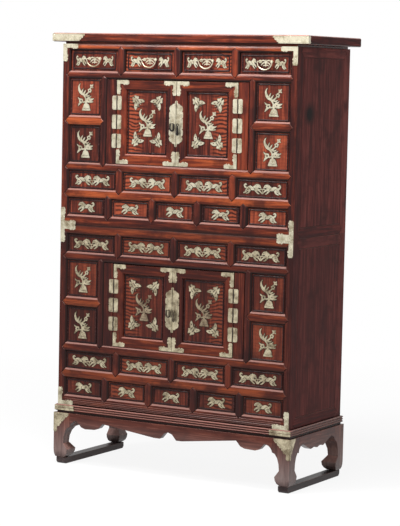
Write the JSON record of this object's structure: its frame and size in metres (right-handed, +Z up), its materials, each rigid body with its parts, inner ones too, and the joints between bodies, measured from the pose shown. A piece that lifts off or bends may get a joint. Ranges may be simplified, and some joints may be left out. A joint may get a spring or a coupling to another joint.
{
  "type": "two tier chest",
  "caption": "Tall two tier wooden chest with a lattice front of small panels, paired doors in each tier, small drawers on top, brass mounts and a low footed stand.",
  "frame": {"origin": "centre of the floor area that the whole chest covers, on the floor", "axes": "+Z up, -Y out of the front with the doors, +X towards the right side seen from the front"},
  "size_m": [0.9914, 0.4002, 1.5],
  "materials": {
    "front_wood": "satin oil finish, red brown",
    "figured_wood": "satin, striped and burled figure",
    "side_wood": "satin dark stain",
    "dark_wood": "matt near black stain",
    "inner_wood": "bare planed wood",
    "brass": "worn pale brass, satin",
    "iron": "dark aged iron, satin"
  },
  "bodies": {
    "case": {"base_aprons": "front_wood", "base_legs": "front_wood", "base_moulding": "front_wood", "base_mounts": "brass", "base_runners": "dark_wood", "base_shadow_frame": "dark_wood", "lower_back": "inner_wood", "lower_boards": "inner_wood", "lower_corner_mounts": "brass", "lower_corner_posts": "front_wood", "lower_front_panels": "figured_wood", "lower_front_rails": "front_wood", "lower_front_struts": "front_wood", "lower_hinge_frame_leaves": "brass", "lower_panel_mounts": "brass", "lower_sides": "side_wood", "top_board": "front_wood", "top_corner_mounts": "brass", "top_neck": "dark_wood", "upper_back": "inner_wood", "upper_boards": "inner_wood", "upper_corner_mounts": "brass", "upper_corner_posts": "front_wood", "upper_drawer_bay": "inner_wood", "upper_front_panels": "figured_wood", "upper_front_rails": "front_wood", "upper_front_struts": "front_wood", "upper_hinge_frame_leaves": "brass", "upper_panel_mounts": "brass", "upper_sides": "side_wood"},
    "lower_right_door": {"lower_right_door_frame": "front_wood", "lower_right_door_panel": "figured_wood", "lower_right_door_mounts": "brass"},
    "lower_right_door_pull": {"lower_right_door_pull": "brass"},
    "lower_left_door": {"lower_left_door_frame": "front_wood", "lower_left_door_panel": "figured_wood", "lower_left_door_mounts": "brass"},
    "lower_left_door_pull": {"lower_left_door_pull": "brass"},
    "upper_right_door": {"upper_right_door_frame": "front_wood", "upper_right_door_panel": "figured_wood", "upper_right_door_mounts": "brass"},
    "upper_right_door_pull": {"upper_right_door_pull": "iron"},
    "upper_left_door": {"upper_left_door_frame": "front_wood", "upper_left_door_panel": "figured_wood", "upper_left_door_mounts": "brass"},
    "upper_left_door_pull": {"upper_left_door_pull": "iron"},
    "drawer_1": {"drawer_1": "figured_wood", "drawer_1_mounts": "brass"},
    "drawer_1_bail": {"drawer_1_bail": "brass"},
    "drawer_2": {"drawer_2": "figured_wood", "drawer_2_mounts": "brass"},
    "drawer_2_bail": {"drawer_2_bail": "brass"},
    "drawer_3": {"drawer_3": "figured_wood", "drawer_3_mounts": "brass"},
    "drawer_3_bail": {"drawer_3_bail": "brass"},
    "drawer_4": {"drawer_4": "figured_wood", "drawer_4_mounts": "brass"},
    "drawer_4_bail": {"drawer_4_bail": "brass"}
  },
  "joints": [
    {"name": "lower_right_door_hinge", "type": "hinge", "parent": "case", "child": "lower_right_door", "pos_m": [0.237, -0.1894, 0.573], "axis": [0, 0, 1], "range_deg": [0, 160]},
    {"name": "lower_right_door_pull_pivot", "type": "hinge", "parent": "lower_right_door", "child": "lower_right_door_pull", "pos_m": [0.0105, -0.1961, 0.573], "axis": [-1, 0, 0], "range_deg": [0, 120]},
    {"name": "lower_left_door_hinge", "type": "hinge", "parent": "case", "child": "lower_left_door", "pos_m": [-0.237, -0.1894, 0.573], "axis": [0, 0, -1], "range_deg": [0, 160]},
    {"name": "lower_left_door_pull_pivot", "type": "hinge", "parent": "lower_left_door", "child": "lower_left_door_pull", "pos_m": [-0.0105, -0.1961, 0.573], "axis": [-1, 0, 0], "range_deg": [0, 120]},
    {"name": "upper_right_door_hinge", "type": "hinge", "parent": "case", "child": "upper_right_door", "pos_m": [0.237, -0.1894, 1.2005], "axis": [0, 0, 1], "range_deg": [0, 160]},
    {"name": "upper_right_door_pull_pivot", "type": "hinge", "parent": "upper_right_door", "child": "upper_right_door_pull", "pos_m": [0.0105, -0.1961, 1.2005], "axis": [-1, 0, 0], "range_deg": [0, 120]},
    {"name": "upper_left_door_hinge", "type": "hinge", "parent": "case", "child": "upper_left_door", "pos_m": [-0.237, -0.1894, 1.2005], "axis": [0, 0, -1], "range_deg": [0, 160]},
    {"name": "upper_left_door_pull_pivot", "type": "hinge", "parent": "upper_left_door", "child": "upper_left_door_pull", "pos_m": [-0.0105, -0.1961, 1.2005], "axis": [-1, 0, 0], "range_deg": [0, 120]},
    {"name": "drawer_1_slide", "type": "slide", "parent": "case", "child": "drawer_1", "axis": [0, -1, 0], "range_m": [0, 0.23]},
    {"name": "drawer_1_bail_pivot", "type": "hinge", "parent": "drawer_1", "child": "drawer_1_bail", "pos_m": [-0.33225, -0.1896, 1.41329], "axis": [-1, 0, 0], "range_deg": [0, 85]},
    {"name": "drawer_2_slide", "type": "slide", "parent": "case", "child": "drawer_2", "axis": [0, -1, 0], "range_m": [0, 0.23]},
    {"name": "drawer_2_bail_pivot", "type": "hinge", "parent": "drawer_2", "child": "drawer_2_bail", "pos_m": [-0.11075, -0.1896, 1.41329], "axis": [-1, 0, 0], "range_deg": [0, 85]},
    {"name": "drawer_3_slide", "type": "slide", "parent": "case", "child": "drawer_3", "axis": [0, -1, 0], "range_m": [0, 0.23]},
    {"name": "drawer_3_bail_pivot", "type": "hinge", "parent": "drawer_3", "child": "drawer_3_bail", "pos_m": [0.11075, -0.1896, 1.41329], "axis": [-1, 0, 0], "range_deg": [0, 85]},
    {"name": "drawer_4_slide", "type": "slide", "parent": "case", "child": "drawer_4", "axis": [0, -1, 0], "range_m": [0, 0.23]},
    {"name": "drawer_4_bail_pivot", "type": "hinge", "parent": "drawer_4", "child": "drawer_4_bail", "pos_m": [0.33225, -0.1896, 1.41329], "axis": [-1, 0, 0], "range_deg": [0, 85]}
  ]
}
